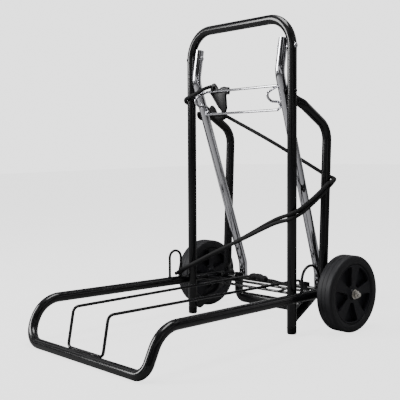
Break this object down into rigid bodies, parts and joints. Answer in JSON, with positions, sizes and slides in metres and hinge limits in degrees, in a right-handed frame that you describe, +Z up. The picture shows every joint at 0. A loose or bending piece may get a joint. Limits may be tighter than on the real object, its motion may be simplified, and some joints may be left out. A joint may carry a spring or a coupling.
{
  "type": "folding luggage cart",
  "caption": "Two-wheeled folding luggage cart with a tube platform, black posts, chromed stays, a latch wire and an elastic cord.",
  "frame": {"origin": "on the floor, below the middle of the cart's box", "axes": "+X to the cart's right, +Y towards the wheels, +Z up; the platform reaches to -Y"},
  "size_m": [0.548, 0.6768, 0.7304],
  "materials": {
    "enamel": "gloss black enamel",
    "chrome": "bright chrome plate",
    "zinc": "zinc plate",
    "tyre_rubber": "matt black rubber",
    "hub_plastic": "satin dark grey moulding",
    "hook_plastic": "satin black moulding",
    "cap_plastic": "satin black",
    "cord_cover": "black braid over rubber"
  },
  "bodies": {
    "frame": {"front_frame": "enamel", "axle": "zinc", "foot_cap_l": "cap_plastic", "rear_leg_l": "enamel", "strut_l": "enamel", "pivot_rivet_l": "chrome", "leg_rivet_l": "enamel", "axle_bush_l": "cap_plastic", "axle_spacer_l": "cap_plastic", "axle_washer_l": "zinc", "axle_nut_l": "zinc", "foot_cap_r": "cap_plastic", "rear_leg_r": "enamel", "strut_r": "enamel", "pivot_rivet_r": "chrome", "leg_rivet_r": "enamel", "axle_bush_r": "cap_plastic", "axle_spacer_r": "cap_plastic", "axle_washer_r": "zinc", "axle_nut_r": "zinc", "cord_wrap": "cord_cover", "cord_upper": "cord_cover", "cord_lower_a": "cord_cover", "cord_lower_b": "cord_cover"},
    "platform": {"platform_tube": "enamel", "deck_wire": "enamel", "cross_wire_front": "enamel", "cross_wire_middle": "enamel", "tail_rod": "enamel", "cross_stand": "enamel", "cord_loop_l": "enamel", "cord_loop_r": "enamel", "cord_knot": "cord_cover", "wire_hook": "enamel"},
    "stays": {"stay_l": "chrome", "stay_r": "chrome", "stay_shoe_l": "cap_plastic", "stay_shoe_r": "cap_plastic", "cord_hook": "hook_plastic"},
    "bail": {"latch_bail": "chrome"},
    "wheel_l": {"wheel_hub_l": "hub_plastic", "tyre_l": "tyre_rubber"},
    "wheel_r": {"wheel_hub_r": "hub_plastic", "tyre_r": "tyre_rubber"}
  },
  "joints": [
    {"name": "platform_fold", "type": "hinge", "parent": "frame", "child": "platform", "pos_m": [0, 0.24996, 0.0885], "axis": [-1, 0, 0], "range_deg": [0, 73], "deforming": ["cord_wrap", "cord_upper", "cord_lower_a", "cord_lower_b"]},
    {"name": "stay_swing", "type": "hinge", "parent": "frame", "child": "stays", "pos_m": [0, 0.14935, 0.65345], "axis": [1, 0, 0], "range_deg": [0, 10], "deforming": ["cord_wrap", "cord_upper", "cord_lower_a", "cord_lower_b"]},
    {"name": "bail_swing", "type": "hinge", "parent": "stays", "child": "bail", "pos_m": [0, 0.15642, 0.56876], "axis": [-1, 0, 0], "range_deg": [0, 45], "deforming": ["cord_wrap", "cord_upper", "cord_lower_a", "cord_lower_b"]},
    {"name": "wheel_l_spin", "type": "hinge", "parent": "frame", "child": "wheel_l", "pos_m": [0, 0.24996, 0.0885], "axis": [1, 0, 0], "continuous": true},
    {"name": "wheel_r_spin", "type": "hinge", "parent": "frame", "child": "wheel_r", "pos_m": [0, 0.24996, 0.0885], "axis": [1, 0, 0], "continuous": true}
  ]
}
